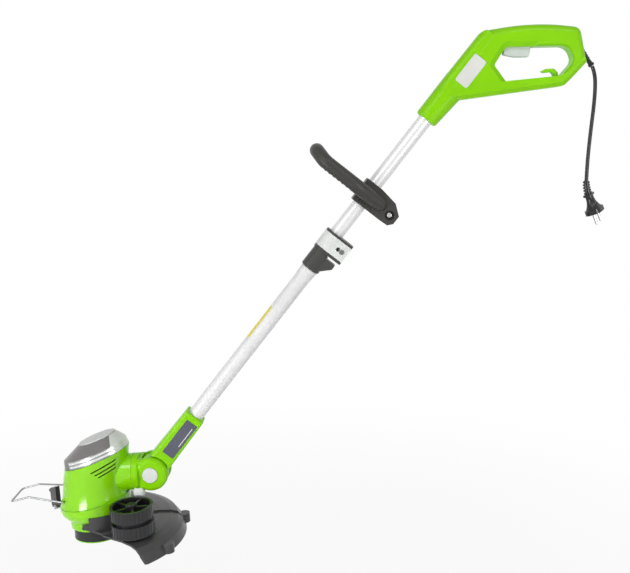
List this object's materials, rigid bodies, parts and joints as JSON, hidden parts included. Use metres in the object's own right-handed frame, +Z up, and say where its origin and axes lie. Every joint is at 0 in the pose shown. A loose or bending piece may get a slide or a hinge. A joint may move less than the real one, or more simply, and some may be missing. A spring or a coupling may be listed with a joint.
{
  "type": "string trimmer",
  "caption": "Corded string trimmer with a trigger handle, loop front grip, telescopic shaft, tilting and swivelling motor head, line spool, guard, edge wheel and wire plant guard.",
  "frame": {"origin": "on the axis of the upper tube, where a wall clip holds it", "axes": "+Z up as held in use, +X from the cutting head towards the main handle, +Y to the far side; the shaft leans in the XZ plane"},
  "size_m": [1.0441, 0.2776, 0.9077],
  "materials": {
    "green": "moulded, glossy",
    "plate_grey": "bare satin plate",
    "screw_steel": "dark zinc",
    "cord_black": "satin rubber",
    "bright_metal": "bright plated",
    "trigger_grey": "light grey plastic",
    "switch_black": "moulded",
    "spring_steel": "spring wire",
    "upper_aluminium": "bright drawn",
    "lower_white": "pale painted",
    "bush_black": "moulded",
    "lead_grey": "sheathed lead",
    "loop_grey": "soft grained grip",
    "knob_black": "moulded",
    "clamp_grey": "fine grained",
    "pale_plastic": "smooth, pale",
    "panel_dark": "satin inlay",
    "ring_white": "low-friction plastic",
    "cap_grey": "satin",
    "cap_light": "satin",
    "silver_trim": "satin silver",
    "stator_steel": "laminations",
    "rotor_copper": "wound",
    "shaft_steel": "ground",
    "fan_black": "moulded",
    "carrier_grey": "moulded",
    "guard_black": "fine grained",
    "blade_steel": "ground blade",
    "wheel_black": "fine grained",
    "axle_black": "moulded",
    "spool_black": "fine grained",
    "reel_grey": "moulded",
    "line_green": "nylon line",
    "wire_steel": "bright wire"
  },
  "bodies": {
    "handle": {"handle_near_shell": "green", "handle_far_shell": "green", "side_plate": "plate_grey", "handle_screws": "screw_steel", "cord_sleeve": "cord_black", "power_cord": "cord_black", "plug_body": "cord_black", "plug_pins": "bright_metal", "trigger_pin": "bright_metal", "switch": "switch_black", "trigger_spring": "spring_steel", "upper_tube": "upper_aluminium", "guide_bush": "bush_black", "upper_lead": "lead_grey"},
    "trigger": {"trigger": "trigger_grey"},
    "loop_handle": {"loop_handle": "loop_grey", "loop_bolt": "bright_metal"},
    "loop_knob": {"loop_knob": "knob_black"},
    "lower_shaft": {"lower_tube": "lower_white", "lower_lead": "lead_grey", "clamp_collar": "clamp_grey", "clamp_bolt": "bright_metal", "lever_pin": "bright_metal", "socket_near_half": "green", "socket_far_half": "green", "socket_panel": "panel_dark", "socket_screws": "screw_steel"},
    "clamp_lever": {"clamp_lever": "pale_plastic", "lever_screw": "screw_steel"},
    "yoke": {"yoke_near_half": "green", "yoke_far_half": "green", "pivot_pin": "bright_metal", "button_spring": "spring_steel", "swivel_ring": "ring_white"},
    "tilt_button": {"tilt_button": "pale_plastic"},
    "swivel_latch": {"swivel_latch": "pale_plastic"},
    "motor_head": {"motor_housing": "green", "housing_base": "green", "motor_cap": "cap_grey", "cap_panel": "cap_light", "cap_trim": "silver_trim", "motor_stator": "stator_steel", "motor_bearings": "shaft_steel", "bearing_carrier": "carrier_grey", "guard": "guard_black", "guard_screws": "screw_steel", "line_cutter": "blade_steel", "wheel_axle": "axle_black"},
    "spool": {"motor_shaft": "shaft_steel", "motor_rotor": "rotor_copper", "cooling_fan": "fan_black", "spool_housing": "spool_black", "spool_cover": "green", "spool_reel": "reel_grey", "line_winding": "line_green", "bump_spring": "spring_steel"},
    "bump_knob": {"bump_knob": "spool_black"},
    "edge_wheel": {"edge_wheel": "wheel_black"},
    "wire_guard": {"wire_guard": "wire_steel"}
  },
  "joints": [
    {"name": "trigger_pull", "type": "hinge", "parent": "handle", "child": "trigger", "pos_m": [0.177, 0, 0.179], "axis": [0, -1, 0], "range_deg": [0, 10], "stiffness_Nm_per_rad": 2, "springref_deg": -5.73, "deforming": ["trigger_spring"]},
    {"name": "loop_slide", "type": "slide", "parent": "handle", "child": "loop_handle", "axis": [0.6108, 0, 0.7918], "range_m": [0, 0.1]},
    {"name": "loop_knob_turn", "type": "hinge", "parent": "loop_handle", "child": "loop_knob", "pos_m": [-0.01789, 0.02, -0.10619], "axis": [0, 1, 0], "continuous": true},
    {"name": "telescope", "type": "slide", "parent": "handle", "child": "lower_shaft", "axis": [0.6108, 0, 0.7918], "range_m": [-0.15, 0.05]},
    {"name": "clamp_lever_swing", "type": "hinge", "parent": "lower_shaft", "child": "clamp_lever", "pos_m": [-0.09457, -0.01, -0.17333], "axis": [0.6108, 0, 0.7918], "range_deg": [0, 100]},
    {"name": "head_tilt", "type": "hinge", "parent": "lower_shaft", "child": "yoke", "pos_m": [-0.43858, 0, -0.56848], "axis": [0, 1, 0], "range_deg": [-50, 20]},
    {"name": "tilt_button_press", "type": "slide", "parent": "yoke", "child": "tilt_button", "axis": [0, 1, 0], "range_m": [0, 0.004], "stiffness_N_per_m": 800, "springref_m": -0.002, "deforming": ["button_spring"]},
    {"name": "swivel_latch_slide", "type": "slide", "parent": "yoke", "child": "swivel_latch", "axis": [0.9981, 0, 0.061], "range_m": [0, 0.004], "stiffness_N_per_m": 800, "springref_m": -0.002},
    {"name": "head_swivel", "type": "hinge", "parent": "yoke", "child": "motor_head", "pos_m": [-0.43858, 0, -0.56848], "axis": [0.9981, 0, 0.061], "range_deg": [0, 90]},
    {"name": "spool_spin", "type": "hinge", "parent": "motor_head", "child": "spool", "pos_m": [-0.53975, 0, -0.69008], "axis": [-0.061, 0, 0.9981], "continuous": true},
    {"name": "bump_press", "type": "slide", "parent": "spool", "child": "bump_knob", "axis": [-0.061, 0, 0.9981], "range_m": [0, 0.0025], "stiffness_N_per_m": 1500, "springref_m": -0.002, "deforming": ["bump_spring"]},
    {"name": "edge_wheel_roll", "type": "hinge", "parent": "motor_head", "child": "edge_wheel", "pos_m": [-0.46186, -0.075, -0.62521], "axis": [-0.061, 0, 0.9981], "continuous": true},
    {"name": "wire_guard_fold", "type": "hinge", "parent": "motor_head", "child": "wire_guard", "pos_m": [-0.59048, 0, -0.61404], "axis": [0, 1, 0], "range_deg": [0, 70]}
  ]
}
